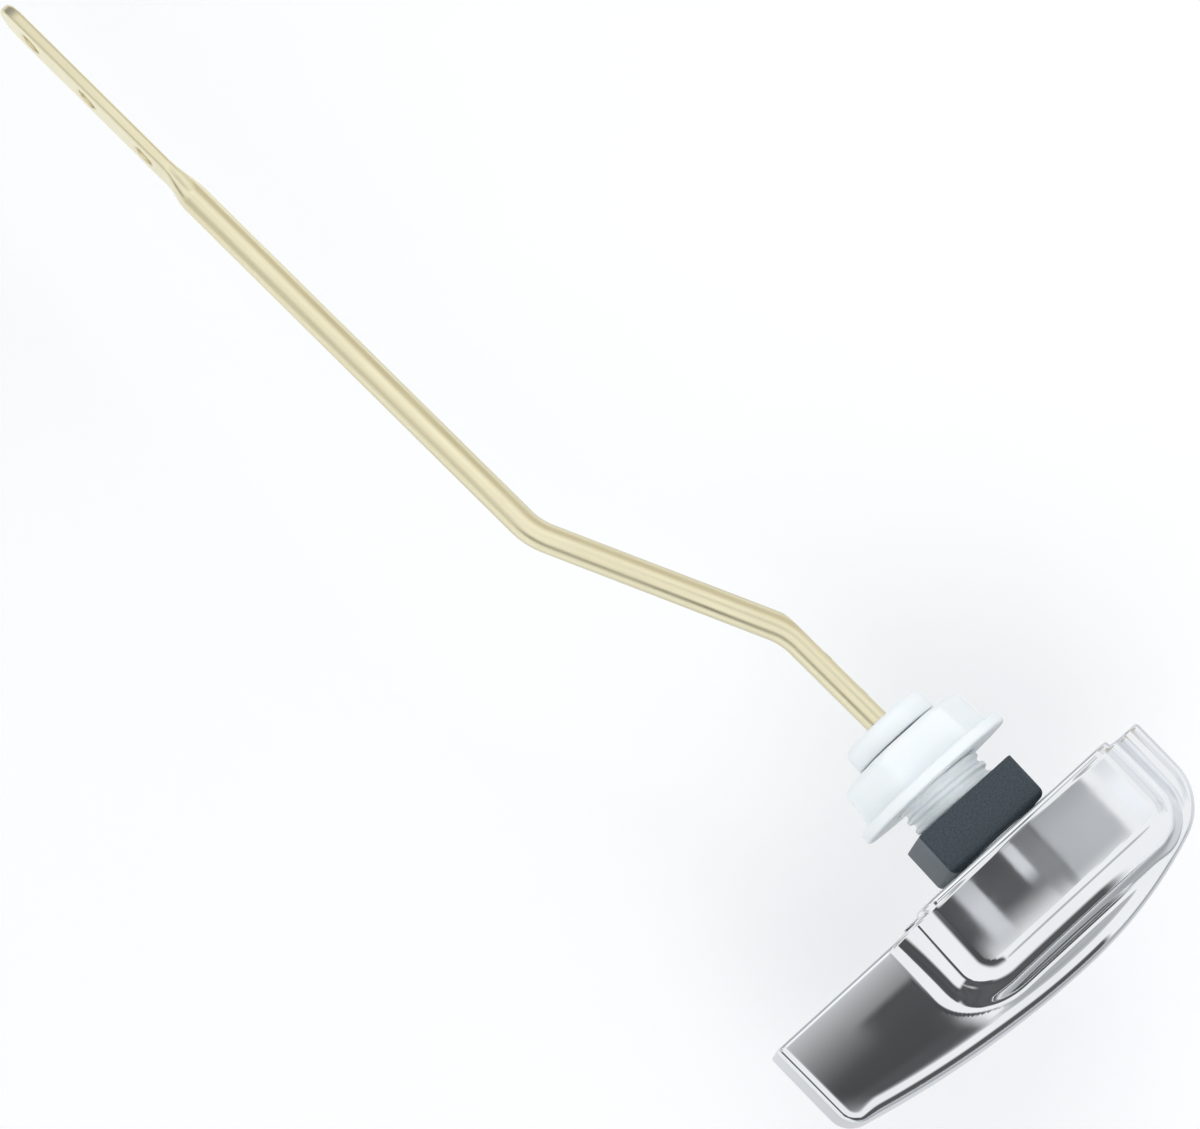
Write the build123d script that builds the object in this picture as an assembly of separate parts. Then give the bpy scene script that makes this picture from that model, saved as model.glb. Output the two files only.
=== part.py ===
from build123d import *
import math
import os

os.makedirs("parts", exist_ok=True)

# Frame: origin on the pivot axis, in the plane where the gasket meets the cistern wall.
# +Y runs into the cistern, +X to the heel of the handle, -X to its tip, +Z is up.

# Handle, in mm and degrees
tip_reach = 49.7
tip_lean = 0.7
tip_depth = 17.0
crown_offset = 2.8
blade_depth = 23.3
blade_half_width = 8.4
heel_reach = 29.9
heel_depth = 16.1
blade_setback = 1.0
boss_half_width = 13.6
boss_tip_side = 20.3
boss_heel_side = 24.0
boss_depth = 16.5
boss_draft = 15.0
casting_wall = 2.4
rim_radius = 2.4
tip_corner = 3.0
heel_corner = 10.0
boss_corner = 4.0
pad_inset = 1.2
boss_roll = 3.4
step_fillet = 3.0

# Mounting
shank_diameter = 16.0
shank_length = 14.0
stem_diameter = 9.0
head_depth = 2.5
gasket_side = 20.0
gasket_depth = 8.5
gasket_edge = 1.2
nut_gap = 4.9
nut_flange_diameter = 30.0
nut_flange_depth = 2.0
nut_body_depth = 7.0
nut_corner_diameter = 26.8
nut_dome = 2.0
collar_diameter = 16.2
collar_depth = 4.0
collar_edge = 0.9
lever_travel = 35.0
lug_height = 1.5
lug_half_angle = 15.0
stop_slack = 2.0

# Arm and its screw
bar_diameter = 5.0
bar_flat_depth = 1.1
socket_depth = 10.9
first_bend = 39.5
first_offset = 0.9
second_bend = 80.0
crank_offset = 21.2
bend_radius = 13.0
arm_reach = 209.5
arm_toe = 6.3
flat_length = 46.5
flat_thickness = 2.1
flat_width = 9.3
fan_length = 7.0
hole_diameter = 4.2
hole_spacing = 14.2
hole_edge = 7.8
screw_diameter = 4.0
screw_length = 6.0
screw_key = 2.3
screw_key_depth = 2.4

# Clearances
running_gap = 0.3
stem_clearance = 0.05
slip_clearance = 0.2
thread_clearance = 0.25
seat_clearance = 0.05
screw_gap = 0.1

# What follows from the sizes above
boss_rear = -gasket_depth - running_gap
blade_rear = boss_rear - blade_setback
boss_front = boss_rear - boss_depth
crown = blade_rear - blade_depth
opening = boss_rear + 1.0
stem_radius = stem_diameter / 2
stem_end = shank_length + running_gap
head_radius = gasket_side / 2 - 0.4
head_front = -gasket_depth - head_depth
recess_floor = head_front - running_gap
post_radius = head_radius + running_gap + casting_wall
lug_inner = stem_radius + 1.4
lug_outer = head_radius - 0.6
collar_end = stem_end + collar_depth
bar_radius = bar_diameter / 2
bar_flat_reach = bar_radius - bar_flat_depth
bar_flat_end = first_bend + bend_radius
socket_floor = recess_floor - socket_depth
bar_root = socket_floor + running_gap
screw_y = (recess_floor + socket_floor) / 2 - 0.6


def disc(radius, y_rear, y_front):
    # Round bar along Y between two planes, y_rear being the greater
    return extrude(Plane.XZ.offset(-y_rear) * Circle(radius), y_rear - y_front)


def sector(inner, outer, y_rear, y_front, from_deg, to_deg):
    # Part of a ring about Y, with angles counted about +Y from +Z
    centre = Pos((inner + outer) / 2, (y_rear + y_front) / 2)
    profile = Plane.XY * centre * Rectangle(outer - inner, y_rear - y_front)
    ring = revolve(profile, Axis.Y, revolution_arc=to_deg - from_deg)
    return Rot(0, from_deg - 90, 0) * ring


def d_section(clearance):
    # Bar section with its key flat towards the heel
    reach = bar_flat_reach + clearance
    cut = Pos(reach + bar_radius, 0) * Rectangle(2 * bar_radius, 4 * bar_radius)
    return Circle(bar_radius + clearance) - cut


def side_outline(inset, rear):
    # Side view of the blade: leaning tip, front crowned by two arcs, upright heel
    crown_point = (-crown_offset, crown + inset)
    tip_front = (-tip_reach + tip_lean + inset, blade_rear - tip_depth + inset)
    heel_front = (heel_reach - inset, blade_rear - heel_depth + inset)
    tip_rear = (-tip_reach + inset, rear)
    heel_rear = (heel_reach - inset, rear)
    face = make_face([
        TangentArc(crown_point, tip_front, tangent=(-1, 0)),
        Line(tip_front, tip_rear),
        Line(tip_rear, heel_rear),
        Line(heel_rear, heel_front),
        TangentArc(crown_point, heel_front, tangent=(1, 0)),
    ])
    face = fillet(face.vertices().sort_by_distance(tip_front)[:1], tip_corner - inset / 2)
    return fillet(face.vertices().sort_by_distance(heel_front)[:1], heel_corner - inset)


def blade():
    # Long part of the handle, with a rounded rim at tip, front and heel
    body = extrude(side_outline(0, blade_rear), blade_half_width, both=True)
    sides = body.faces().sort_by(Axis.Z)
    rim = (sides[0].edges() + sides[-1].edges()).filter_by(lambda e: e.center().Y < blade_rear - 0.5)
    return fillet(rim, rim_radius)


def boss_half(inset, rear):
    # Upper half of the block round the pivot, its walls spreading down towards the blade
    height = boss_half_width - inset
    spread = height * math.tan(math.radians(boss_draft))
    tip = -boss_tip_side + inset - spread
    heel = boss_heel_side - inset + spread
    front = boss_front + inset - spread
    past = rear + 2 * spread
    face = Pos((tip + heel) / 2, (front + past) / 2) * Rectangle(heel - tip, past - front)
    face = fillet(face.vertices().sort_by(Axis.Y)[:2], boss_corner + spread)
    block = extrude(face, height, taper=boss_draft)
    return split(block, Plane.XZ.offset(-rear), keep=Keep.TOP)


def boss(rear):
    # Whole block, rolled over at the edges of its broad faces
    half = boss_half(0, rear)
    top = half.faces().sort_by(Axis.Z)[-1]
    half = fillet(top.edges().filter_by(lambda e: e.center().Y < rear - 0.5), boss_roll)
    return half + mirror(half, Plane.XY)


def rear_pad():
    # Seat behind the boss that faces the gasket, standing proud of the blade's rear
    middle = (boss_heel_side - boss_tip_side) / 2
    length = boss_heel_side + boss_tip_side - 2 * pad_inset
    face = Pos(middle, 0) * RectangleRounded(length, 2 * boss_half_width, boss_roll)
    return extrude(Plane.XZ.offset(-boss_rear) * face, 1.5 * blade_setback)


def casting_outside():
    # Blade, boss and pad in one, with a cove where the boss rises from the blade
    long_part = blade()
    block = boss(blade_rear)
    joined = long_part + block
    foot = new_edges(long_part, block, combined=joined)
    joined = fillet(foot.filter_by(lambda e: e.center().Y < blade_rear - 0.5), step_fillet)
    return joined + rear_pad()


def casting_hollow():
    # Space inside the casting, open to the rear, round the post that carries the stem
    long_space = extrude(side_outline(casting_wall, opening), blade_half_width - casting_wall, both=True)
    half = boss_half(casting_wall, opening)
    return long_space + half + mirror(half, Plane.XY) - disc(post_radius, opening + 1.0, crown)


def stop_pocket():
    # Arc in the recess floor in which the bushing's lug travels
    turn = lug_half_angle + stop_slack
    inner = lug_inner - running_gap
    outer = lug_outer + running_gap
    return sector(inner, outer, recess_floor + 1.0, recess_floor - lug_height, -turn - lever_travel, turn)


def handle():
    # One casting: blade and boss, hollow back, post with the stop pocket, and the hollow stem
    recess = disc(head_radius + running_gap, opening, recess_floor)
    stem = disc(stem_radius, stem_end, recess_floor - 1.0)
    socket_length = stem_end + 1.0 - socket_floor
    socket = extrude(Plane.XZ.offset(-stem_end - 1.0) * d_section(seat_clearance), socket_length)
    screw_hole = extrude(-Plane.XY * Circle(screw_diameter / 2 + seat_clearance), 2 * boss_half_width)
    shell = casting_outside() - casting_hollow() - recess - stop_pocket()
    return shell + stem - socket - Pos(0, screw_y, 0) * screw_hole


def grub_screw():
    # Headless screw with a hexagon socket, its point just clear of the bar
    point = -bar_radius - screw_gap
    body = Pos(0, screw_y, point) * extrude(-Plane.XY * Circle(screw_diameter / 2), screw_length)
    key = extrude(RegularPolygon(screw_key / 2, 6), screw_key_depth)
    body = body - Pos(0, screw_y, point - screw_length) * key
    tip = body.edges().filter_by(GeomType.CIRCLE).sort_by(Axis.Z)[-1]
    return chamfer(tip, 0.5)


def bushing():
    # Threaded bushing: round head with its stop lug in front of the gasket, plain bore for the stem
    shank = disc(shank_diameter / 2, shank_length, head_front)
    head = disc(head_radius, -gasket_depth, head_front)
    lug_front = recess_floor - lug_height + running_gap
    lug = sector(lug_inner, lug_outer, head_front + 0.5, lug_front, -lug_half_angle, lug_half_angle)
    bore = disc(stem_radius + stem_clearance, shank_length + 1.0, head_front - 1.0)
    body = shank + head + lug - bore
    end = body.edges().filter_by(GeomType.CIRCLE).sort_by(Axis.Y)[-2:].sort_by(SortBy.LENGTH)[-1]
    return chamfer(end, 0.8)


def wall_gasket():
    # Square gasket with softened front edges and a square back
    block = extrude(Plane.XZ * Rectangle(gasket_side, gasket_side), gasket_depth)
    front = block.faces().sort_by(Axis.Y)[0]
    block = fillet(front.edges(), gasket_edge)
    return block - disc(shank_diameter / 2 + slip_clearance, 1.0, -gasket_depth - 1.0)


def mounting_nut():
    # Flanged hexagon nut, drafted towards its rear, with its rear corners turned off
    rear = nut_gap + nut_flange_depth + nut_body_depth
    base = nut_gap + nut_flange_depth / 2
    corner = nut_corner_diameter / 2
    flange = disc(nut_flange_diameter / 2, nut_gap + nut_flange_depth, nut_gap)
    flange = chamfer(flange.edges().filter_by(GeomType.CIRCLE), nut_flange_depth / 5)
    prism = extrude(-Plane.XZ.offset(-base) * RegularPolygon(corner, 6), rear - base, taper=4.0)
    turned = Polygon(
        (0, base),
        (corner, base),
        (corner, rear - nut_dome),
        (corner - 1.2 * nut_dome, rear),
        (0, rear),
        align=None,
    )
    body = prism & revolve(turned, Axis.Y)
    return flange + body - disc(shank_diameter / 2 + thread_clearance, rear + 1.0, nut_gap - 1.0)


def arm_collar():
    # Collar keyed on the flat of the bar, against the end of the stem
    body = disc(collar_diameter / 2, collar_end, stem_end)
    body = chamfer(body.edges().filter_by(GeomType.CIRCLE).sort_by(Axis.Y)[-1:], collar_edge)
    bore = extrude(Plane.XZ.offset(-collar_end - 1.0) * d_section(seat_clearance), collar_depth + 2.0)
    return body - bore


def bar_flat():
    # Key flat along the root of the bar, following its lean behind the collar and running out in the bend
    lean = first_offset / (first_bend - collar_end)
    end_reach = bar_flat_reach - lean * (bar_flat_end - collar_end)
    cut = Polygon(
        (bar_flat_reach, bar_root - 1.0),
        (bar_diameter, bar_root - 1.0),
        (bar_diameter, bar_flat_end),
        (end_reach, bar_flat_end),
        (bar_flat_reach, collar_end),
        align=None,
    )
    return extrude(cut, bar_diameter, both=True)


def pressed_end():
    # Far end of the bar, pressed flat from its shoulder at the origin along +Y, with the chain holes
    neck = bar_diameter - 0.2
    round_section = RectangleRounded(neck, neck, neck / 2 - 0.05)
    flat_section = RectangleRounded(flat_thickness, flat_width, 0.45 * flat_thickness)
    fan = loft([Plane.XZ.offset(1.5) * round_section, Plane.XZ.offset(-fan_length) * flat_section])
    straight = flat_length - flat_width / 2
    strip = Pos(0, (fan_length + straight) / 2) * Rectangle(flat_width, straight - fan_length)
    plan = strip + Pos(0, straight) * Circle(flat_width / 2)
    for number in range(3):
        plan = plan - Pos(0, flat_length - hole_edge - number * hole_spacing) * Circle(hole_diameter / 2)
    return fan + extrude(Plane.ZY.offset(-flat_thickness / 2) * plan, flat_thickness)


def arm():
    # Bar bent in one level plane, keyed at its root and pressed flat at its far end
    bend_b = Vector(-crank_offset, second_bend)
    far = Vector(-crank_offset - arm_toe, arm_reach)
    run = (far - bend_b).normalized()
    shoulder = far - run * flat_length
    bends = [(0, bar_root), (0, collar_end), (-first_offset, first_bend), bend_b, shoulder]
    line = FilletPolyline(*bends, radius=bend_radius)
    bar = sweep(Plane(origin=line @ 0, z_dir=line % 0) * Circle(bar_radius), path=line)
    turn = math.degrees(math.atan2(-run.X, run.Y))
    return bar - bar_flat() + Pos(shoulder.X, shoulder.Y, 0) * Rot(0, 0, turn) * pressed_end()


export_step(handle(), "parts/handle.step")
export_step(grub_screw(), "parts/grub_screw.step")
export_step(bushing(), "parts/bushing.step")
export_step(wall_gasket(), "parts/wall_gasket.step")
export_step(mounting_nut(), "parts/mounting_nut.step")
export_step(arm_collar(), "parts/arm_collar.step")
export_step(arm(), "parts/arm.step")
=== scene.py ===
import bpy
import math
import numpy as np
from mathutils import Matrix


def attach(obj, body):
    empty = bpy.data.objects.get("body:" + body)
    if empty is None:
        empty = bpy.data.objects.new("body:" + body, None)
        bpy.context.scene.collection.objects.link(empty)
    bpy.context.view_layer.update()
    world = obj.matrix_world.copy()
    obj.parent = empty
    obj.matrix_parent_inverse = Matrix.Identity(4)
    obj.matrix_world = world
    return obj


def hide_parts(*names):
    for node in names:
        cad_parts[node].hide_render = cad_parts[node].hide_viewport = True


# Lengths below are in mm, in the frame's own axes, and become metres when a mesh is made:
# origin on the pivot at the cistern wall, +Y into the cistern, +X to the heel, +Z up
mm = 0.001

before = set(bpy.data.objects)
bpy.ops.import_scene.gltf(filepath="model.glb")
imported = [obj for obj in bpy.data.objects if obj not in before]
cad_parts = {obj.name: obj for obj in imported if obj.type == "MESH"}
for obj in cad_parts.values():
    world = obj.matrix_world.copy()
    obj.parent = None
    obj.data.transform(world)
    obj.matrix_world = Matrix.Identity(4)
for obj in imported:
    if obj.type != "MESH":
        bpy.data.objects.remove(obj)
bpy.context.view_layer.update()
print("frame loaded:", sorted(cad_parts))


# Shapes as distance fields: below zero inside, above zero outside

def roundMax(a, b, radius):
    # where both hold, with the edge between them rounded off
    corner = np.hypot(np.maximum(a + radius, 0), np.maximum(b + radius, 0))
    return np.minimum(np.maximum(a, b), -radius) + corner


def roundMin(a, b, radius):
    # where either holds, with the corner between them filled by a fillet
    return -roundMax(-a, -b, radius)


def slab(t, low, high):
    return np.maximum(low - t, t - high)


def blend(t, start, end):
    # smooth step from 0 to 1
    share = np.clip((t - start) / (end - start), 0, 1)
    return share * share * (3 - 2 * share)


def hexagonField(u, v, reach, corner, draft=0.0):
    # three pairs of flats, drawn in by the draft
    sides = None
    for number in range(3):
        angle = math.radians(30 + 60 * number)
        face = np.abs(u * math.cos(angle) + v * math.sin(angle)) - reach + draft
        sides = face if sides is None else roundMax(sides, face, corner)
    return sides


def screwWave(along, turn, pitch):
    # 0 on the crests of a thread and 1 in its roots
    return 0.5 - 0.5 * np.cos(2 * math.pi * (along / pitch - turn / (2 * math.pi)))


# Meshes from those fields
meshing = {
    "closeRun": 3.5, "widenRun": 4.0,  # close rows at a grid's end, and the run over which they widen
    "probe": 0.02,  # step over which a field's slope is taken
    "pulls": 5, "pullShare": 0.3,  # drawing a vertex to the surface, by this share of its cell at most
    "leastSlope": 0.05, "tiny": 1e-6,  # floors for what is divided by
}


def rows(length, coarse, fine, atStart, atEnd):
    # places from 0 to length, close together near the ends that are asked for
    places = [0.0]
    while places[-1] < length:
        away = min(places[-1] if atStart else length, length - places[-1] if atEnd else length)
        widen = min(1.0, max(0.0, away - meshing["closeRun"]) / meshing["widenRun"])
        places.append(places[-1] + fine + (coarse - fine) * widen)
    return np.array(places) * length / places[-1]


def boxGrid(low, high, step):
    # even grid round a box, a cell and a half past each side
    x, y, z = [np.arange(a - 1.5 * step, b + 2.5 * step, step) for a, b in zip(low, high)]
    xs, ys = np.meshgrid(x, y, indexing="ij")
    return xs, ys, z


def edgeEnds(value, axis):
    # field at the two ends of every grid edge along one axis
    first = [slice(None)] * 3
    second = [slice(None)] * 3
    first[axis] = slice(0, -1)
    second[axis] = slice(1, None)
    return value[tuple(first)], value[tuple(second)]


def crossedCells(value):
    # cells that the surface crosses, the middle of the crossings in each, in shares of the cell,
    # and for every axis which grid edges are crossed and which of them start inside
    cells = tuple(n - 1 for n in value.shape)
    total = np.zeros(cells + (3,))
    count = np.zeros(cells)
    crossings = []
    for axis in range(3):
        start, end = edgeEnds(value, axis)
        hit = (start < 0) != (end < 0)
        share = np.where(hit, start / np.where(hit, start - end, 1), 0)
        crossings.append((hit, start < 0))
        a, b = [other for other in range(3) if other != axis]
        for da, db in ((0, 0), (0, 1), (1, 0), (1, 1)):
            cut = [slice(None)] * 3
            cut[a] = slice(da, da + cells[a])
            cut[b] = slice(db, db + cells[b])
            here = hit[tuple(cut)]
            count += here
            total[..., axis] += np.where(here, share[tuple(cut)], 0)
            total[..., a] += here * da
            total[..., b] += here * db
    active = count > 0
    return active, total[active] / count[active][:, None], crossings


def cellPoints(grid, active, shares):
    # a point in each of those cells, and how far it may be drawn at a time
    xs, ys, z = grid
    i, j, k = np.argwhere(active).T
    si, sj, sk = shares.T

    def between(table):
        near = table[i, j] * (1 - si) + table[i + 1, j] * si
        far = table[i, j + 1] * (1 - si) + table[i + 1, j + 1] * si
        return near * (1 - sj) + far * sj

    points = np.stack([between(xs), between(ys), z[k] * (1 - sk) + z[k + 1] * sk], axis=1)
    cellWidth = np.hypot(xs[i + 1, j] - xs[i, j], ys[i + 1, j] - ys[i, j])
    return points, meshing["pullShare"] * np.minimum(cellWidth, z[k + 1] - z[k])[:, None]


def cellFaces(active, crossings):
    # a face round each crossed edge, from the four cells that share it, turned outwards
    number = np.full(active.shape, -1)
    number[active] = np.arange(active.sum())
    faces = []
    for axis, (hit, startInside) in enumerate(crossings):
        a, b = (axis + 1) % 3, (axis + 2) % 3
        edge = np.argwhere(hit)
        ring = []
        for da, db in ((1, 1), (0, 1), (0, 0), (1, 0)):
            cell = edge.copy()
            cell[:, a] -= da
            cell[:, b] -= db
            ring.append(number[tuple(cell.T)])
        ring = np.stack(ring, axis=1)
        inward = ~startInside[tuple(edge.T)]
        ring[inward] = ring[inward][:, ::-1]
        faces.append(ring)
    return np.concatenate(faces)


def fieldSlope(field, points, probe):
    parts = []
    for axis in range(3):
        shift = np.zeros(3)
        shift[axis] = probe
        parts.append((field(*(points + shift).T) - field(*(points - shift).T)) / (2 * probe))
    return np.stack(parts, axis=1)


def gridMesh(name, field, grid, flow=None, soften=meshing["probe"]):
    # one vertex in each grid cell that the surface crosses, drawn on to the surface itself
    xs, ys, z = grid
    active, shares, crossings = crossedCells(field(xs[:, :, None], ys[:, :, None], z[None, None, :]))
    points, reach = cellPoints(grid, active, shares)
    for pull in range(meshing["pulls"]):
        way = fieldSlope(field, points, meshing["probe"])
        steepness = np.maximum((way * way).sum(axis=1), meshing["leastSlope"])
        move = way * (field(*points.T) / steepness)[:, None]
        points = points - np.clip(move, -reach, reach)
    normals = fieldSlope(field, points, soften)
    normals /= np.maximum(np.linalg.norm(normals, axis=1), meshing["tiny"])[:, None]

    mesh = bpy.data.meshes.new(name)
    mesh.from_pydata((points * mm).tolist(), [], cellFaces(active, crossings).tolist())
    mesh.polygons.foreach_set("use_smooth", [True] * len(mesh.polygons))
    mesh.normals_split_custom_set_from_vertices(normals.tolist())
    if flow:
        # place along and across the bar, for the material's streaks
        streak = mesh.attributes.new("flow", "FLOAT_VECTOR", "POINT")
        streak.data.foreach_set("vector", (flow(*points.T) * mm).ravel())
    mesh.update()
    piece = bpy.data.objects.new(name, mesh)
    bpy.context.scene.collection.objects.link(piece)
    return piece


def fit(piece, node, body, material):
    piece.data.materials.append(material)
    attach(piece, body)
    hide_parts(node)
    print(piece.name, "made:", len(piece.data.polygons), "faces")


# Materials: each noise is given by its scale and detail, each bump by its depth and strength
noiseRange = (0.3, 0.7)  # where most of a noise's values lie


def startMaterial(name):
    material = bpy.data.materials.new(name)
    material.use_nodes = True
    tree = material.node_tree
    shader = tree.nodes["Principled BSDF"]
    coords = tree.nodes.new("ShaderNodeTexCoord")
    return material, tree, shader, coords.outputs["Object"]


def noise(tree, vector, scale, detail, stretch=None):
    node = tree.nodes.new("ShaderNodeTexNoise")
    node.inputs["Scale"].default_value = scale
    node.inputs["Detail"].default_value = detail
    if stretch:
        mapping = tree.nodes.new("ShaderNodeMapping")
        mapping.inputs["Scale"].default_value = stretch
        tree.links.new(vector, mapping.inputs["Vector"])
        vector = mapping.outputs["Vector"]
    tree.links.new(vector, node.inputs["Vector"])
    return node.outputs["Fac"]


def spread(tree, value, limits, within=noiseRange):
    node = tree.nodes.new("ShaderNodeMapRange")
    for end, number in zip(("From Min", "From Max", "To Min", "To Max"), (*within, *limits)):
        node.inputs[end].default_value = number
    tree.links.new(value, node.inputs["Value"])
    return node.outputs["Result"]


def ramp(tree, value, low, high):
    node = tree.nodes.new("ShaderNodeValToRGB")
    for stop, place, colour in zip(node.color_ramp.elements, noiseRange, (low, high)):
        stop.position = place
        stop.color = (*colour, 1)
    tree.links.new(value, node.inputs["Fac"])
    return node.outputs["Color"]


def bump(tree, shader, height, depth, strength):
    node = tree.nodes.new("ShaderNodeBump")
    node.inputs["Distance"].default_value = depth * mm
    node.inputs["Strength"].default_value = strength
    tree.links.new(height, node.inputs["Height"])
    tree.links.new(node.outputs["Normal"], shader.inputs["Normal"])


# Chrome: bright plate with a faint haze, wiped in patches
chrome = {
    "dark": (0.80, 0.82, 0.84), "light": (0.86, 0.88, 0.90), "roughness": (0.02, 0.045),
    "cloud": (60, 4), "haze": (180, 5), "ripple": (220, 2), "bump": (0.02, 0.06),
}


def chromePlate():
    material, tree, shader, coords = startMaterial("chrome_plate")
    shader.inputs["Metallic"].default_value = 1.0
    cloud = noise(tree, coords, *chrome["cloud"])
    tree.links.new(ramp(tree, cloud, chrome["dark"], chrome["light"]), shader.inputs["Base Color"])
    haze = noise(tree, coords, *chrome["haze"])
    tree.links.new(spread(tree, haze, chrome["roughness"]), shader.inputs["Roughness"])
    bump(tree, shader, noise(tree, coords, *chrome["ripple"]), *chrome["bump"])
    return material


# Brass: drawn bar, with fine streaks along its own length
brass = {
    "dark": (0.845, 0.785, 0.545), "light": (0.915, 0.855, 0.62), "roughness": (0.29, 0.40),
    "streak": (1800, 4), "stretch": (1.0, 0.02, 1.0), "patch": (90, 3), "bump": (0.03, 0.2),
}


def drawnBrass():
    material, tree, shader, coords = startMaterial("drawn_brass")
    shader.inputs["Metallic"].default_value = 1.0
    flow = tree.nodes.new("ShaderNodeAttribute")
    flow.attribute_name = "flow"
    streak = noise(tree, flow.outputs["Vector"], *brass["streak"], brass["stretch"])
    tree.links.new(ramp(tree, streak, brass["dark"], brass["light"]), shader.inputs["Base Color"])
    patch = noise(tree, coords, *brass["patch"])
    tree.links.new(spread(tree, patch, brass["roughness"]), shader.inputs["Roughness"])
    bump(tree, shader, streak, *brass["bump"])
    return material


# Acetal: white moulding that light sinks into a little
acetal = {
    "dark": (0.88, 0.945, 0.98), "light": (0.92, 0.97, 0.99), "roughness": (0.36, 0.5),
    "cloud": (120, 3), "haze": (400, 3), "grain": (900, 3), "bump": (0.03, 0.15),
    "sink": 0.4, "sinkDepth": (1.8, 2.2, 2.6),
}


def whiteAcetal():
    material, tree, shader, coords = startMaterial("white_acetal")
    cloud = noise(tree, coords, *acetal["cloud"])
    tree.links.new(ramp(tree, cloud, acetal["dark"], acetal["light"]), shader.inputs["Base Color"])
    shader.inputs["Subsurface Weight"].default_value = acetal["sink"]
    shader.inputs["Subsurface Radius"].default_value = [depth * mm for depth in acetal["sinkDepth"]]
    shader.inputs["Subsurface Scale"].default_value = 1.0
    haze = noise(tree, coords, *acetal["haze"])
    tree.links.new(spread(tree, haze, acetal["roughness"]), shader.inputs["Roughness"])
    bump(tree, shader, noise(tree, coords, *acetal["grain"]), *acetal["bump"])
    return material


# Rubber: fine grain, with a grey bloom that is seen along its faces
rubber = {
    "dark": (0.020, 0.033, 0.043), "light": (0.046, 0.066, 0.082), "roughness": (0.45, 0.62),
    "grain": (2600, 3), "bump": (0.06, 0.5),
    "bloom": 0.25, "bloomRoughness": 0.4, "bloomTint": (0.80, 0.92, 1.0),
}


def blackRubber():
    material, tree, shader, coords = startMaterial("black_rubber")
    grain = noise(tree, coords, *rubber["grain"])
    tree.links.new(ramp(tree, grain, rubber["dark"], rubber["light"]), shader.inputs["Base Color"])
    tree.links.new(spread(tree, grain, rubber["roughness"]), shader.inputs["Roughness"])
    shader.inputs["Sheen Weight"].default_value = rubber["bloom"]
    shader.inputs["Sheen Roughness"].default_value = rubber["bloomRoughness"]
    shader.inputs["Sheen Tint"].default_value = (*rubber["bloomTint"], 1)
    bump(tree, shader, grain, *rubber["bump"])
    return material


# Steel: plain turned screw
steel = {
    "dark": (0.42, 0.42, 0.43), "light": (0.56, 0.56, 0.57), "roughness": (0.28, 0.42),
    "cloud": (700, 3), "bump": (0.02, 0.2),
}


def screwSteel():
    material, tree, shader, coords = startMaterial("screw_steel")
    shader.inputs["Metallic"].default_value = 1.0
    cloud = noise(tree, coords, *steel["cloud"])
    tree.links.new(ramp(tree, cloud, steel["dark"], steel["light"]), shader.inputs["Base Color"])
    tree.links.new(spread(tree, cloud, steel["roughness"]), shader.inputs["Roughness"])
    bump(tree, shader, cloud, *steel["bump"])
    return material


# Handle: one casting, a long blade with a raised boss round the pivot, hollow behind
handle = {
    "step": 0.45, "fineStep": 0.22, "stemStep": 0.6,  # grid over the casting, at its edges and on its stem
    "gridAlong": 82.0, "gridAcross": 22.0, "margin": 0.8, "stemMargin": 1.5, "bossMargin": 1.0,
    "probe": 0.05,  # step over which the slope of the broad face is taken
    "platingSoften": 0.38,  # how far the plating rounds the light over fine edges
    "rear": -9.8, "rearEdge": 0.5, "tipRear": -49.7, "tipFront": (-49.0, -26.8), "tipCorner": 3.0,
    "crown": (-2.8, -33.1), "tipArc": 172.5, "heelArc": 77.9,  # arcs either side of the crown
    "heel": 29.9, "heelCorner": 10.0,
    "halfWidth": 8.4, "bow": 0.005, "bowMiddle": -21.0,  # broad faces bowed from front to rear
    "soften": 0.002, "softenFrom": 6.5,  # and falling away towards the front
    "rimTip": 1.4, "rimFront": 3.0, "rimCrown": 2.5,
    "rimTipRun": (-48.5, -43.0), "rimCrownRun": (-24.0, -6.0),  # where the rim passes from one to the next
    "bossHalfWidth": 13.6, "bossMiddle": (1.85, -15.0), "bossBow": (0.0006, 0.001),
    "flatTip": -16.5, "flatHeel": 20.2, "flatFront": -22.8, "flatCorner": 0.35,  # edges of the boss's flat
    "tipFall": 9.4, "heelFall": 6.3, "frontFall": 6.3,  # width over which it falls to the blade
    # slope of that fall against the share of its width
    "frontSlope": ((0, 0), (0.40, 0.62), (0.62, 1.15), (0.75, 1.5), (0.84, 1.5), (0.92, 0.75), (1, 0)),
    "tipSlope": (
        (0, 0), (0.37, 0.60), (0.405, 1.15), (0.51, 1.48), (0.61, 1.15), (0.80, 0.78), (0.90, 0.42), (1, 0),
    ),
    "padMiddle": 1.85, "padHalf": 20.95, "padRear": -8.8, "padDepth": 1.5, "padCorner": 3.4,
    "wall": 2.4, "hollowCorner": 0.6, "hollowEdge": 0.3, "post": 12.3, "recess": 9.9, "recessFloor": -11.3,
    "pocket": (5.6, 9.3), "pocketTurn": (-52.0, 17.0), "pocketDepth": 1.5,
    "stem": 4.5, "stemRoot": 1.0, "stemEnd": 14.3, "socket": 2.55, "socketFloor": -22.2, "flatReach": 1.45,
    "screwY": -17.35, "screwHole": 2.05,
}


def heelCentre(h):
    # centre of the arc at the front of the heel, and its offset from the centre of the heel's long arc
    aside = h["heel"] - h["heelCorner"] - h["crown"][0]
    ahead = math.sqrt((h["heelArc"] - h["heelCorner"]) ** 2 - aside ** 2)
    return (h["heel"] - h["heelCorner"], h["crown"][1] + h["heelArc"] - ahead), aside, ahead


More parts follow.
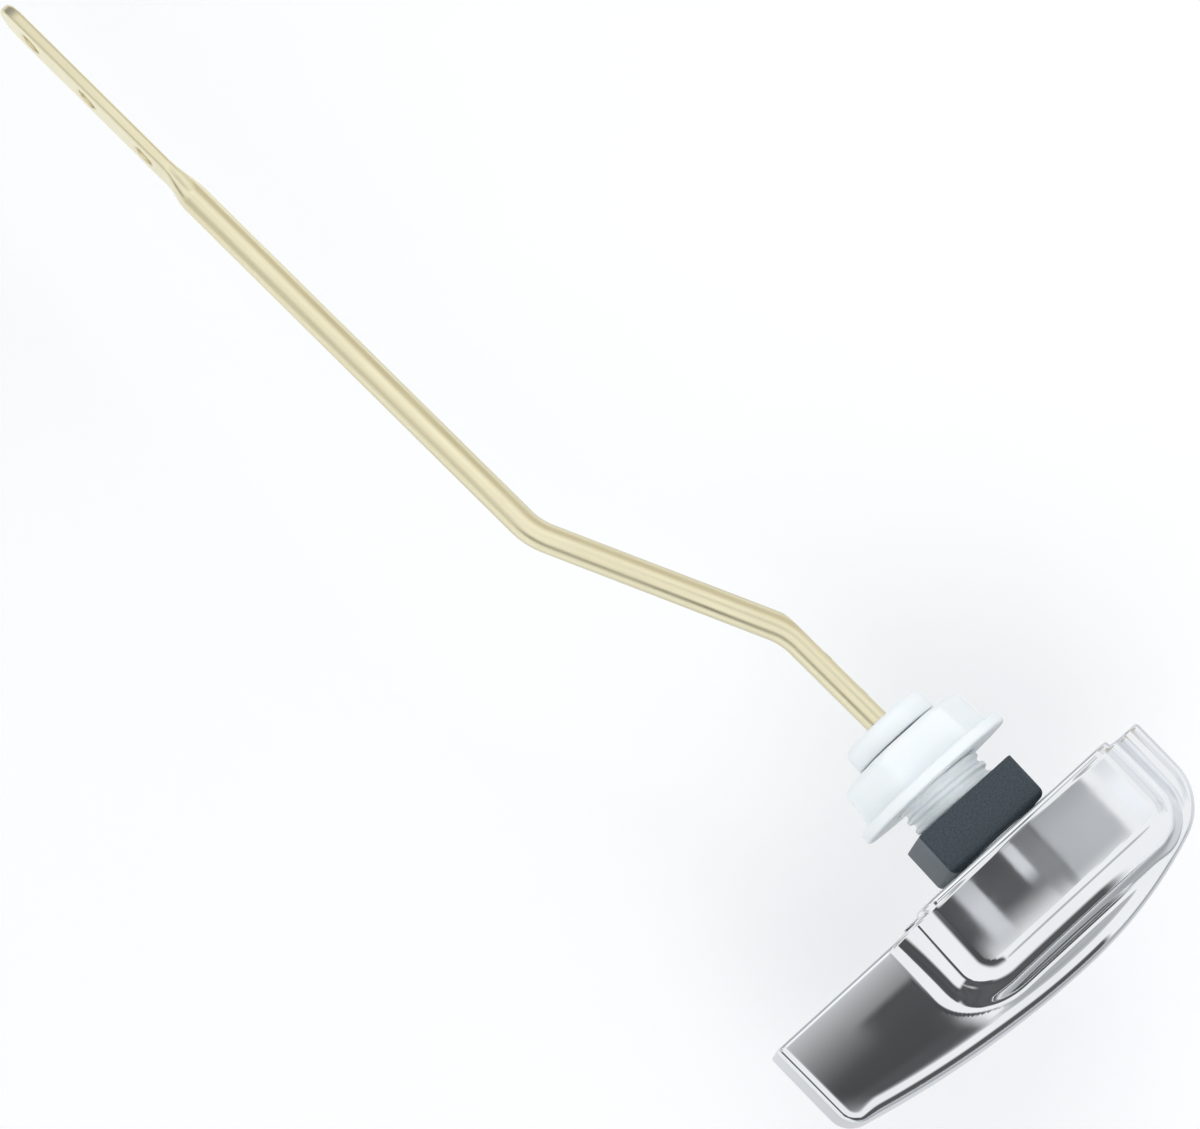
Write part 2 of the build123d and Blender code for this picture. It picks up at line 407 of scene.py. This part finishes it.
def frontField(h):
    # side view of the blade's front: two long arcs and a rounded heel
    crownX, crownY = h["crown"]
    (cornerX, cornerY), aside, ahead = heelCentre(h)

    def field(x, y):
        tipSide = np.hypot(x - crownX, y - crownY - h["tipArc"]) - h["tipArc"]
        heelSide = np.hypot(x - crownX, y - crownY - h["heelArc"]) - h["heelArc"]
        front = np.where(x < crownX, tipSide, heelSide)
        corner = np.hypot(x - cornerX, y - cornerY) - h["heelCorner"]
        past = (x - crownX) * ahead > (crownY + h["heelArc"] - y) * aside
        return np.where(past & (y < cornerY), corner, np.maximum(front, x - h["heel"]))

    return field


def arcPoints(centre, radius, start, end, count=90):
    # angles from the front, -Y, towards the heel, +X
    turn = np.linspace(start, end, count)
    return np.stack([centre[0] + radius * np.sin(turn), centre[1] - radius * np.cos(turn)], axis=1)


def along(points, share):
    # points at given shares of a line's length
    travelled = np.concatenate([[0], np.cumsum(np.hypot(*np.diff(points, axis=0).T))])
    return np.stack([np.interp(share * travelled[-1], travelled, points[:, a]) for a in (0, 1)], axis=1)


def handleGrid(h):
    # grid that follows the tip, the front and the heel, so that their rims fall along its lines
    crownX, crownY = h["crown"]
    margin = h["margin"]
    corner, aside, ahead = heelCentre(h)
    join = math.atan2(aside, ahead)
    middle = (join + math.pi / 2) / 2
    tipTurn = math.asin((h["tipFront"][0] - crownX - margin) / (h["tipArc"] + margin))
    heelFront = h["heelCorner"] + margin
    frontLine = np.concatenate([
        arcPoints((crownX, crownY + h["tipArc"]), h["tipArc"] + margin, tipTurn, 0),
        arcPoints((crownX, crownY + h["heelArc"]), h["heelArc"] + margin, 0, join),
        arcPoints(corner, heelFront, join, middle),
    ])
    rearY = h["rear"] + h["fineStep"] / 2
    heelRear = np.array([h["heel"] + margin, rearY])
    tipRear = np.array([h["tipRear"] - margin, rearY])
    heelLine = np.concatenate([heelRear[None], arcPoints(corner, heelFront, math.pi / 2, middle)])
    p = rows(h["gridAlong"], h["step"], h["fineStep"], True, True) / h["gridAlong"]
    q = rows(h["gridAcross"], h["step"], h["fineStep"], True, True) / h["gridAcross"]
    front, heel = along(frontLine, p), along(heelLine, q)
    rear = tipRear + p[:, None] * (heelRear - tipRear)
    tip = tipRear + q[:, None] * (front[0] - tipRear)
    # sheet stretched between those four lines
    a, b = p[:, None, None], q[None, :, None]
    sheet = (1 - b) * rear[:, None] + b * front[:, None] + (1 - a) * tip[None] + a * heel[None]
    sheet -= (1 - a) * (1 - b) * tipRear + a * (1 - b) * heelRear
    sheet -= (1 - a) * b * front[0] + a * b * front[-1]
    # and straight on behind the casting, for its stem
    stemRun = h["stemEnd"] + h["stemMargin"] - rearY
    behind = rearY + rows(stemRun, h["stemStep"], h["fineStep"], True, False)[:0:-1]
    back = np.stack(np.broadcast_arrays(rear[:, None, 0], behind[None]), axis=-1)
    sheet = np.concatenate([back, sheet], axis=1)[:, ::-1]
    upper = rows(h["bossHalfWidth"] + h["bossMargin"], h["step"], h["step"], False, False)
    return sheet[..., 0], sheet[..., 1], np.concatenate([-upper[:0:-1], upper])


def fallCurve(slopes, count=2001):
    # height left at each share of a fall's width, from 1 at the top to 0 at the foot
    places, steepness = np.array(slopes, dtype=float).T
    shares = np.linspace(0, 1, count)
    fallen = np.concatenate([[0], np.cumsum(np.interp(shares[1:] - shares[1] / 2, places, steepness))])
    return lambda share: 1 - np.interp(share, shares, fallen / fallen[-1])


def handleTop(h, frontAt):
    # height of the broad face over the middle plane: the blade, with the boss rising from it
    frontFall, tipFall = fallCurve(h["frontSlope"]), fallCurve(h["tipSlope"])
    middleX, middleY = h["bossMiddle"]
    bowX, bowY = h["bossBow"]
    corner = h["flatCorner"]

    def top(x, y):
        nearFront = np.maximum(h["softenFrom"] + frontAt(x, y), 0)
        blade = h["halfWidth"] - h["bow"] * (y - h["bowMiddle"]) ** 2 - h["soften"] * nearFront ** 3
        boss = h["bossHalfWidth"] - bowX * (x - middleX) ** 2 - bowY * (y - middleY) ** 2
        ahead = np.maximum((h["flatFront"] - y) / h["frontFall"] + corner, 0)
        tipwards = np.maximum((h["flatTip"] - x) / h["tipFall"] + corner, 0)
        heelwards = np.maximum((x - h["flatHeel"]) / h["heelFall"] + corner, 0)
        reach = np.sqrt(ahead ** 2 + tipwards ** 2 + heelwards ** 2)
        tipShare = (tipwards / np.maximum(reach, meshing["tiny"])) ** 2
        away = np.maximum(reach - corner, 0)
        left = (1 - tipShare) * frontFall(away) + tipShare * tipFall(away)
        return blade + (boss - blade) * left

    return top


def handleField(h):
    frontAt = frontField(h)
    top = handleTop(h, frontAt)
    tipX, tipY = h["tipFront"]
    tipRun, tipLean = h["rear"] - tipY, tipX - h["tipRear"]
    pocketMiddle = math.radians(sum(h["pocketTurn"]) / 2)
    pocketHalf = math.radians(h["pocketTurn"][1] - h["pocketTurn"][0]) / 2
    near = h["probe"]

    def field(x, y, z):
        # outer skin: outline in side view, broad faces and the rim between them
        tall = np.abs(z)
        tip = ((tipX - x) * tipRun + (tipY - y) * tipLean) / math.hypot(tipRun, tipLean)
        outline = roundMax(frontAt(x, y), tip, h["tipCorner"])
        riseX = (top(x + near, y) - top(x - near, y)) / (2 * near)
        riseY = (top(x, y + near) - top(x, y - near)) / (2 * near)
        side = (tall - top(x, y)) / np.sqrt(1 + riseX ** 2 + riseY ** 2)
        rim = h["rimTip"] + (h["rimFront"] - h["rimTip"]) * blend(x, *h["rimTipRun"])
        rim = rim + (h["rimCrown"] - h["rimFront"]) * blend(x, *h["rimCrownRun"])
        outer = roundMax(roundMax(outline, side, rim), y - h["rear"], h["rearEdge"])
        pad = roundMax(np.abs(x - h["padMiddle"]) - h["padHalf"], tall - h["bossHalfWidth"], h["padCorner"])
        pad = roundMax(pad, slab(y, h["padRear"] - h["padDepth"], h["padRear"]), h["rearEdge"])
        outer = np.minimum(outer, pad)
        # hollow back round a post, with a recess for the bushing's head and a pocket for its lug
        around = np.hypot(x, z)
        hollow = np.maximum(outline, side) + h["wall"]
        hollow = roundMax(hollow, h["post"] - around, h["hollowCorner"])
        solid = roundMax(outer, -hollow, h["hollowEdge"])
        solid = np.maximum(solid, -np.maximum(around - h["recess"], h["recessFloor"] - y))
        pocketAngle = np.abs(np.arctan2(x, z) - pocketMiddle) - pocketHalf
        pocket = np.maximum(slab(around, *h["pocket"]), pocketAngle * around)
        solid = np.maximum(solid, -np.maximum(pocket, h["recessFloor"] - h["pocketDepth"] - y))
        # stem, with the bar's socket and the hole for its screw
        stem = np.maximum(around - h["stem"], slab(y, h["recessFloor"] - h["stemRoot"], h["stemEnd"]))
        solid = np.minimum(solid, stem)
        socket = np.maximum(np.maximum(around - h["socket"], x - h["flatReach"]), h["socketFloor"] - y)
        solid = np.maximum(solid, -socket)
        screwHole = np.maximum(np.hypot(x, y - h["screwY"]) - h["screwHole"], z)
        return np.maximum(solid, -screwHole)

    return field


def makeHandle(material):
    h = handle
    piece = gridMesh("handle_casting", handleField(h), handleGrid(h), soften=h["platingSoften"])
    fit(piece, "handle", "lever", material)


# Arm: brass bar bent in a level plane, keyed at its root and pressed flat at its far end
arm = {
    "step": 0.36, "radius": 2.5, "root": -21.9,
    "bends": ((0.0, 18.3), (-0.9, 39.5), (-21.2, 80.0)), "end": (-27.5, 209.5), "bendRadius": 13.0,
    "flatReach": 1.4,  # key flat, on the heel's side
    "flatLength": 46.5, "halfThickness": 1.05, "halfWidth": 4.65, "edge": 0.7,
    "fanLead": 1.5, "fan": 5.0,  # pressing runs from just before the flat into it
    "handOver": 2.0,  # and its field takes over from the bar's this far before
    "holes": 3, "holeRadius": 2.1, "holeEdge": 7.8, "holeSpacing": 14.2, "holeLip": 0.25,
}


def barRoute(a):
    # straight runs (start, direction, length) and bends (centre, way outwards, angle),
    # each with how far along the bar it starts
    corners = [np.array(p) for p in ((0.0, a["root"]), *a["bends"], a["end"])]
    ways = [(q - p) / np.linalg.norm(q - p) for p, q in zip(corners, corners[1:])]
    runs, bends = [], []
    leave, travelled = corners[0], 0.0
    for corner, into, out in zip(corners[1:], ways, ways[1:]):
        turn = math.acos(float(into @ out))
        tangent = a["bendRadius"] * math.tan(turn / 2)
        inwards = (out - into) / np.linalg.norm(out - into)
        length = float(np.linalg.norm(corner - leave)) - tangent
        runs.append((leave, into, length, travelled))
        travelled += length
        bends.append((corner + inwards * a["bendRadius"] / math.cos(turn / 2), -inwards, turn, travelled))
        travelled += a["bendRadius"] * turn
        leave = corner + out * tangent
    runs.append((leave, ways[-1], float(np.linalg.norm(corners[-1] - leave)), travelled))
    return runs, bends


def barPlace(a, route, x, y):
    # distance of a point from the bar's middle line, and how far along the bar it lies
    runs, bends = route
    away, far = np.full(np.broadcast(x, y).shape, np.inf), 0.0
    for start, way, length, travelled in runs:
        t = np.clip((x - start[0]) * way[0] + (y - start[1]) * way[1], 0, length)
        here = np.hypot(x - start[0] - t * way[0], y - start[1] - t * way[1])
        far = np.where(here < away, travelled + t, far)
        away = np.minimum(away, here)
    for centre, outwards, turn, travelled in bends:
        dx, dy = x - centre[0], y - centre[1]
        angle = np.arctan2(dx * -outwards[1] + dy * outwards[0], dx * outwards[0] + dy * outwards[1])
        here = np.where(np.abs(angle) < turn / 2, np.abs(np.hypot(dx, dy) - a["bendRadius"]), np.inf)
        far = np.where(here < away, travelled + (angle + turn / 2) * a["bendRadius"], far)
        away = np.minimum(away, here)
    return away, far


def armField(a, route):
    lastStart, way, length, travelled = route[0][-1]
    keyStart, keyEnd = a["bends"][0], a["bends"][1]
    keyLean = (keyStart[0] - keyEnd[0]) / (keyEnd[1] - keyStart[1])
    shoulder = length - a["flatLength"]
    tipCentre = length - a["halfWidth"]

    def field(x, y, z):
        away, far = barPlace(a, route, x, y)
        bar = np.maximum(np.hypot(away, z) - a["radius"], a["root"] - y)
        bar = np.maximum(bar, x + keyLean * np.maximum(y - keyStart[1], 0) - a["flatReach"])
        u = (x - lastStart[0]) * way[0] + (y - lastStart[1]) * way[1]
        t = np.abs((y - lastStart[1]) * way[0] - (x - lastStart[0]) * way[1])
        press = blend(u, shoulder - a["fanLead"], shoulder + a["fan"])
        thick = a["radius"] + press * (a["halfThickness"] - a["radius"])
        wide = a["radius"] + press * (a["halfWidth"] - a["radius"])
        edge = a["radius"] + press * (a["edge"] - a["radius"])
        plan = np.where(u > tipCentre, np.hypot(u - tipCentre, z), np.abs(z)) - wide
        flat = np.maximum(roundMax(plan, t - thick, edge), -u)
        for number in range(a["holes"]):
            hole = length - a["holeEdge"] - number * a["holeSpacing"]
            flat = roundMax(flat, a["holeRadius"] - np.hypot(u - hole, z), a["holeLip"])
        return np.minimum(np.where(u > shoulder - a["handOver"], np.inf, bar), flat)

    return field


def makeArm(material):
    a = arm
    route = barRoute(a)

    def flow(x, y, z):
        away, far = barPlace(a, route, x, y)
        return np.stack([away, far, z], axis=1)

    low = (a["end"][0] - a["radius"], a["root"], -a["halfWidth"])
    high = (a["radius"], a["end"][1], a["halfWidth"])
    piece = gridMesh("brass_arm", armField(a, route), boxGrid(low, high, a["step"]), flow)
    fit(piece, "arm", "lever", material)


# Bushing: threaded shank with a round head and its stop lug in front of the gasket
bushing = {
    "step": 0.25, "radius": 8.0, "end": 14.0, "chamfer": 0.8, "bore": 4.55,
    "head": 9.6, "headRear": -8.5, "headFront": -11.0, "headEdge": 0.3,
    "pitch": 2.0, "threadDepth": 0.66, "flanks": (0.15, 0.85),
    "threadRun": (-2.0, -1.0),  # where the thread comes up to its full depth
    "slantScale": 0.7,  # keeps the field of slanting faces near to a distance
    "lug": (5.9, 9.0), "lugFront": -12.5, "lugRoot": 0.5, "lugHalf": 15.0,
}


def makeBushing(material):
    b = bushing

    def field(x, y, z):
        around = np.hypot(x, z)
        wave = screwWave(y, np.arctan2(z, x), b["pitch"])
        cut = b["threadDepth"] * blend(wave, *b["flanks"]) * blend(y, *b["threadRun"])
        thread = around - b["radius"] + cut
        shank = np.maximum(thread * b["slantScale"], slab(y, b["headFront"], b["end"]))
        chamfer = around + y - b["radius"] - b["end"] + b["chamfer"]
        shank = np.maximum(shank, chamfer * b["slantScale"])
        head = roundMax(around - b["head"], slab(y, b["headFront"], b["headRear"]), b["headEdge"])
        lugSide = (np.abs(np.arctan2(x, z)) - math.radians(b["lugHalf"])) * around
        lug = np.maximum(slab(around, *b["lug"]), slab(y, b["lugFront"], b["headFront"] + b["lugRoot"]))
        solid = np.minimum(np.minimum(shank, head), np.maximum(lug, lugSide))
        return np.maximum(solid, b["bore"] - around)

    low = (-b["head"], b["lugFront"], -b["head"])
    high = (b["head"], b["end"], b["head"])
    piece = gridMesh("threaded_bushing", field, boxGrid(low, high, b["step"]))
    fit(piece, "bushing", "mounting", material)


# Gasket: square block of rubber, soft in front and crisp at the wall
gasket = {
    "step": 0.3, "half": 10.0, "front": -8.5, "hole": 8.2,
    "sideEdge": 0.6, "frontEdge": 1.3, "wallEdge": 0.25,
}


def makeGasket(material):
    g = gasket

    def field(x, y, z):
        block = roundMax(np.abs(x) - g["half"], np.abs(z) - g["half"], g["sideEdge"])
        block = roundMax(block, g["front"] - y, g["frontEdge"])
        block = roundMax(block, y, g["wallEdge"])
        return np.maximum(block, g["hole"] - np.hypot(x, z))

    low = (-g["half"], g["front"], -g["half"])
    high = (g["half"], 0, g["half"])
    piece = gridMesh("square_gasket", field, boxGrid(low, high, g["step"]))
    fit(piece, "wall_gasket", "mounting", material)


# Nut: moulded hexagon on a thin round flange
nut = {
    "step": 0.28, "front": 4.9, "flange": 15.0, "flangeDepth": 2.0, "flangeEdge": 0.5, "flangeFillet": 0.4,
    "bodyDepth": 7.0, "bodyRoot": 0.5, "cornerRadius": 13.4, "draft": 4.0, "edge": 1.2,
    "dome": 2.6, "domeInset": 0.3, "bore": 8.25, "boreEdge": 0.3,
}


def makeNut(material):
    n = nut
    flangeRear = n["front"] + n["flangeDepth"]
    rear = flangeRear + n["bodyDepth"]
    taper = math.tan(math.radians(n["draft"]))
    flat = n["cornerRadius"] * math.cos(math.pi / 6)

    def field(x, y, z):
        around = np.hypot(x, z)
        hexagon = hexagonField(x, z, flat, n["edge"], (y - flangeRear) * taper)
        body = roundMax(hexagon, y - rear, n["edge"])
        body = np.maximum(body, roundMax(around - n["cornerRadius"] + n["domeInset"], y - rear, n["dome"]))
        body = np.maximum(body, n["front"] + n["bodyRoot"] - y)
        flange = roundMax(around - n["flange"], slab(y, n["front"], flangeRear), n["flangeEdge"])
        solid = roundMin(body, flange, n["flangeFillet"])
        return roundMax(solid, n["bore"] - around, n["boreEdge"])

    low = (-n["flange"], n["front"], -n["flange"])
    high = (n["flange"], rear, n["flange"])
    piece = gridMesh("hexagon_nut", field, boxGrid(low, high, n["step"]))
    fit(piece, "mounting_nut", "nut", material)


# Collar: holds the lever against the end of the bushing, keyed on the bar's flat
collar = {
    "step": 0.25, "radius": 8.1, "front": 14.3, "rear": 18.3,
    "rearEdge": 1.2, "frontEdge": 0.3, "bore": 2.55, "boreEdge": 0.2, "flatReach": 1.45,
}


def makeCollar(material):
    c = collar

    def field(x, y, z):
        around = np.hypot(x, z)
        body = roundMax(around - c["radius"], y - c["rear"], c["rearEdge"])
        body = roundMax(body, c["front"] - y, c["frontEdge"])
        bore = np.maximum(around - c["bore"], x - c["flatReach"])
        return roundMax(body, -bore, c["boreEdge"])

    low = (-c["radius"], c["front"], -c["radius"])
    high = (c["radius"], c["rear"], c["radius"])
    piece = gridMesh("keyed_collar", field, boxGrid(low, high, c["step"]))
    fit(piece, "arm_collar", "lever", material)


# Grub screw: clamps the bar in the handle from below
screw = {
    "step": 0.12, "radius": 2.0, "y": -17.35, "point": -2.6, "length": 6.0, "chamfer": 0.5,
    "key": 1.0, "keyCorner": 0.05, "keyDepth": 2.4, "pitch": 0.7, "threadDepth": 0.35,
    "threadScale": 0.6, "slantScale": 0.7,  # keep the field of slanting faces near to a distance
}


def makeScrew(material):
    s = screw
    head = s["point"] - s["length"]

    def field(x, y, z):
        around = np.hypot(x, y - s["y"])
        cut = s["threadDepth"] * screwWave(z, np.arctan2(y - s["y"], x), s["pitch"])
        thread = around - s["radius"] + cut
        body = np.maximum(thread * s["threadScale"], slab(z, head, s["point"]))
        chamfer = around + z - s["point"] - s["radius"] + s["chamfer"]
        body = np.maximum(body, chamfer * s["slantScale"])
        key = hexagonField(x, y - s["y"], s["key"], s["keyCorner"])
        return np.maximum(body, -np.maximum(key, z - head - s["keyDepth"]))

    low = (-s["radius"], s["y"] - s["radius"], head)
    high = (s["radius"], s["y"] + s["radius"], s["point"])
    piece = gridMesh("grub_screw_m4", field, boxGrid(low, high, s["step"]))
    fit(piece, "grub_screw", "lever", material)


whitePlastic = whiteAcetal()
makeHandle(chromePlate())
makeArm(drawnBrass())
makeBushing(whitePlastic)
makeGasket(blackRubber())
makeNut(whitePlastic)
makeCollar(whitePlastic)
makeScrew(screwSteel())
print("pieces made")


# Studio: pale floor, white surroundings, soft lamps and cards that only reflections show
studio = {
    "floorZ": -45.0, "floorHalf": 9000.0, "floorColour": (0.93, 0.935, 0.94), "floorRoughness": 0.8,
    "floorLift": (0.06, 0.22), "liftRun": (250.0, 1100.0),  # added white near the object and far from it
    "fill": 0.84, "fillColour": (0.97, 0.985, 1.0), "white": (1.0, 1.0, 1.0),
    "lamps": ((-250, -300, 500, 400, 0.7), (350, 250, 420, 300, 0.45)),  # x, y, z, size, watts
    "cardTint": (0.98, 1.0, 1.03), "cardRange": (0.82, 1.2),  # cards are uneven, as real ones are
    "cardCloud": (14, 2), "cardStretch": (0.35, 1.0, 1.0),
}

# Cards, with their glow and how far each fades at its low x, high x, low y and high y sides
cards = {
    # over the blade and the boss, as the camera sees them there
    "blade_card": {"at": (-21.5, -51, 300), "half": (45.5, 184), "glow": 0.085, "fade": (53, 8, 150, 158)},
    "lens_screen": {"at": (131, -266, 621), "half": (69, 74), "glow": 0.52, "fade": (22, 20, 40, 24)},
    "boss_screen": {"at": (147, 11, 620), "half": (25, 59), "glow": 0.47, "fade": (4, 3, 18, 20)},
    "heel_screen": {"at": (196.5, 5, 620), "half": (18.5, 65), "glow": 0.92, "fade": (3, 20, 20, 20)},
    "boss_card": {"at": (83, 11, 619), "half": (48, 59), "glow": 0.1, "fade": (10, 3, 33, 20)},
    "middle_shade": {"at": (121.5, 6, 618), "half": (8.5, 54), "glow": 0.24, "fade": (2, 4, 32, 10)},
    "tip_bar": {"at": (74.2, 6, 617), "half": (8.3, 54), "glow": 0.62, "fade": (5, 1.5, 24, 10)},
    "middle_bar": {"at": (109.2, 18, 617), "half": (5.2, 42), "glow": 0.66, "fade": (3, 2, 20, 10)},
    # upright, round the object
    "front_flag": {
        "at": (-129, -250, 33), "half": (191, 78), "turn": (90, 0, 0),
        "glow": 0.1, "fade": (130, 10, 8, 69),
    },
    "back_flag": {
        "at": (0, 360, 15), "half": (330, 60), "turn": (90, 0, 0),
        "glow": 0.25, "fade": (80, 80, 8, 60),
    },
    "corner_flag": {
        "at": (-335, -337, 125), "half": (270, 130), "turn": (90, 0, -45),
        "glow": 0.1, "fade": (90, 90, 40, 90),
    },
    "tip_flag": {
        "at": (-500, -125, 222), "half": (275, 137), "turn": (90, 0, 90),
        "glow": 0.09, "fade": (90, 40, 60, 50),
    },
    "heel_card": {
        "at": (520, -60, 420), "half": (300, 380), "turn": (90, 0, 90),
        "glow": 0.86, "fade": (100, 100, 100, 300),
    },
    "rear_screen": {
        "at": (0, 620, 390), "half": (420, 400), "turn": (90, 0, 0),
        "glow": 0.38, "fade": (150, 150, 60, 560),
    },
    # for the brass bar
    "bar_tip_side": {
        "at": (-450, 400, 367), "half": (250, 412), "turn": (90, 0, 90),
        "glow": 0.6, "fade": (70, 70, 8, 420), "tint": (1.02, 1.0, 0.93),
    },
    "bar_heel_side": {
        "at": (450, 350, 367), "half": (290, 412), "turn": (90, 0, 90),
        "glow": 0.58, "fade": (70, 70, 8, 420), "tint": (1.06, 1.0, 0.88),
    },
    "bar_light": {"at": (75, 255, 622), "half": (150, 150), "glow": 1.15, "fade": (120, 120, 60, 60)},
    "flat_end_screen": {"at": (-110, 460, 620), "half": (150, 100), "glow": 0.66, "fade": (50, 50, 50, 50)},
    # just over the floor
    "floor_shade": {"at": (78, -10, -44.6), "half": (182, 240), "glow": 0.72, "fade": (48, 170, 150, 150)},
    "front_floor_shade": {
        "at": (-20, -135, -44.3), "half": (125, 50),
        "glow": 0.45, "fade": (60, 30, 30, 35),
    },
    "low_front_flag": {"at": (-129, -212, -44), "half": (191, 38), "glow": 0.12, "fade": (130, 10, 2, 55)},
}


def joined(tree, operation, first, second):
    node = tree.nodes.new("ShaderNodeMath")
    node.operation = operation
    tree.links.new(first, node.inputs[0])
    tree.links.new(second, node.inputs[1])
    return node.outputs[0]


def whiteForView(tree):
    # 1 where the camera, the metal or clear plastic looks, and 0 for the light on the object
    path = tree.nodes.new("ShaderNodeLightPath")
    looks = path.outputs["Is Camera Ray"]
    for ray in ("Is Glossy Ray", "Is Transmission Ray"):
        looks = joined(tree, "MAXIMUM", looks, path.outputs[ray])
    return looks


def mixInto(tree, share, first, second, output):
    mix = tree.nodes.new("ShaderNodeMixShader")
    tree.links.new(share, mix.inputs["Fac"])
    tree.links.new(first, mix.inputs[1])
    tree.links.new(second, mix.inputs[2])
    tree.links.new(mix.outputs["Shader"], tree.nodes[output].inputs["Surface"])


def makeWorld():
    world = bpy.data.worlds.new("studio")
    world.use_nodes = True
    bpy.context.scene.world = world
    tree = world.node_tree
    light = tree.nodes["Background"]
    light.inputs["Color"].default_value = (*studio["fillColour"], 1)
    light.inputs["Strength"].default_value = studio["fill"]
    white = tree.nodes.new("ShaderNodeBackground")
    white.inputs["Color"].default_value = (*studio["white"], 1)
    backdrop = white.outputs["Background"]
    mixInto(tree, whiteForView(tree), light.outputs["Background"], backdrop, "World Output")


def flatPanel(name, centre, half, tilt=(0, 0, 0)):
    halfX, halfY = half
    mesh = bpy.data.meshes.new(name)
    corners = [(-halfX, -halfY, 0), (halfX, -halfY, 0), (halfX, halfY, 0), (-halfX, halfY, 0)]
    mesh.from_pydata([tuple(c * mm for c in p) for p in corners], [], [(0, 1, 2, 3)])
    panel = bpy.data.objects.new(name, mesh)
    bpy.context.scene.collection.objects.link(panel)
    panel.location = [c * mm for c in centre]
    panel.rotation_euler = [math.radians(t) for t in tilt]
    return panel


def makeFloor():
    floor = flatPanel("floor", (0, 0, studio["floorZ"]), (studio["floorHalf"], studio["floorHalf"]))
    material, tree, shader, coords = startMaterial("pale_floor")
    shader.inputs["Base Color"].default_value = (*studio["floorColour"], 1)
    shader.inputs["Roughness"].default_value = studio["floorRoughness"]
    shader.inputs["Emission Color"].default_value = (*studio["white"], 1)
    # whiter where it is looked at, most of all far out, with the shadow still on it
    away = tree.nodes.new("ShaderNodeVectorMath")
    away.operation = "LENGTH"
    tree.links.new(coords, away.inputs[0])
    liftRun = [distance * mm for distance in studio["liftRun"]]
    lift = spread(tree, away.outputs["Value"], studio["floorLift"], liftRun)
    lift = joined(tree, "MULTIPLY", whiteForView(tree), lift)
    tree.links.new(lift, shader.inputs["Emission Strength"])
    floor.data.materials.append(material)


def cardCover(tree, coords, card):
    # 1 over most of a card, fading to 0 at its four sides
    parts = tree.nodes.new("ShaderNodeSeparateXYZ")
    tree.links.new(coords, parts.inputs["Vector"])
    cover = None
    for side, fade in enumerate(card["fade"]):
        axis, end = side // 2, (-1, 1)[side % 2]
        edge = end * card["half"][axis]
        step = tree.nodes.new("ShaderNodeMapRange")
        step.interpolation_type = "SMOOTHSTEP"
        step.inputs["From Min"].default_value = edge * mm
        step.inputs["From Max"].default_value = (edge - end * fade) * mm
        tree.links.new(parts.outputs["XY"[axis]], step.inputs["Value"])
        here = step.outputs["Result"]
        cover = here if cover is None else joined(tree, "MULTIPLY", cover, here)
    return cover


def makeCard(name, card):
    panel = flatPanel(name, card["at"], card["half"], card.get("turn", (0, 0, 0)))
    material, tree, shader, coords = startMaterial(name)
    tree.nodes.remove(shader)
    clear = tree.nodes.new("ShaderNodeBsdfTransparent")
    glow = tree.nodes.new("ShaderNodeEmission")
    cloud = noise(tree, coords, *studio["cardCloud"], studio["cardStretch"])
    tint = card.get("tint", studio["cardTint"])
    dim, bright = [[card["glow"] * level * c for c in tint] for level in studio["cardRange"]]
    tree.links.new(ramp(tree, cloud, dim, bright), glow.inputs["Color"])
    cover = cardCover(tree, coords, card)
    mixInto(tree, cover, clear.outputs["BSDF"], glow.outputs["Emission"], "Material Output")
    panel.data.materials.append(material)
    panel.visible_camera = False
    panel.visible_diffuse = False
    panel.visible_shadow = False
    panel.visible_transmission = False


def makeLamps():
    for number, (x, y, z, size, watts) in enumerate(studio["lamps"]):
        lamp = bpy.data.lights.new(f"soft_lamp_{number}", "AREA")
        lamp.size = size * mm
        lamp.energy = watts
        holder = bpy.data.objects.new(lamp.name, lamp)
        bpy.context.scene.collection.objects.link(holder)
        holder.location = (x * mm, y * mm, z * mm)
        aim = -holder.location.normalized()
        holder.rotation_euler = aim.to_track_quat("-Z", "Y").to_euler()
        holder.visible_glossy = False


# Camera: where the photograph was taken from, with the picture's right, down and forward directions
view = {
    "at": (-104.214, -23.574, 547.022),
    "right": (0.74425, -0.66786, 0.00673),
    "down": (-0.64939, -0.72595, -0.22649),
    "ahead": (0.15615, 0.16419, -0.97399),
    "lens": 102.0, "sensor": 36.0, "nearest": 10.0,
}


def makeCamera():
    camera = bpy.data.cameras.new("photo_view")
    camera.sensor_fit = "HORIZONTAL"
    camera.sensor_width = view["sensor"]
    camera.lens = view["lens"]
    camera.clip_start = view["nearest"] * mm
    holder = bpy.data.objects.new("photo_view", camera)
    bpy.context.scene.collection.objects.link(holder)
    turn = Matrix((view["right"], [-v for v in view["down"]], [-v for v in view["ahead"]])).transposed()
    holder.matrix_world = Matrix.Translation([v * mm for v in view["at"]]) @ turn.to_4x4()
    bpy.context.scene.camera = holder


makeWorld()
makeFloor()
for cardName, card in cards.items():
    makeCard(cardName, card)
makeLamps()
makeCamera()
bpy.context.scene.view_settings.view_transform = "Standard"
print("studio ready")
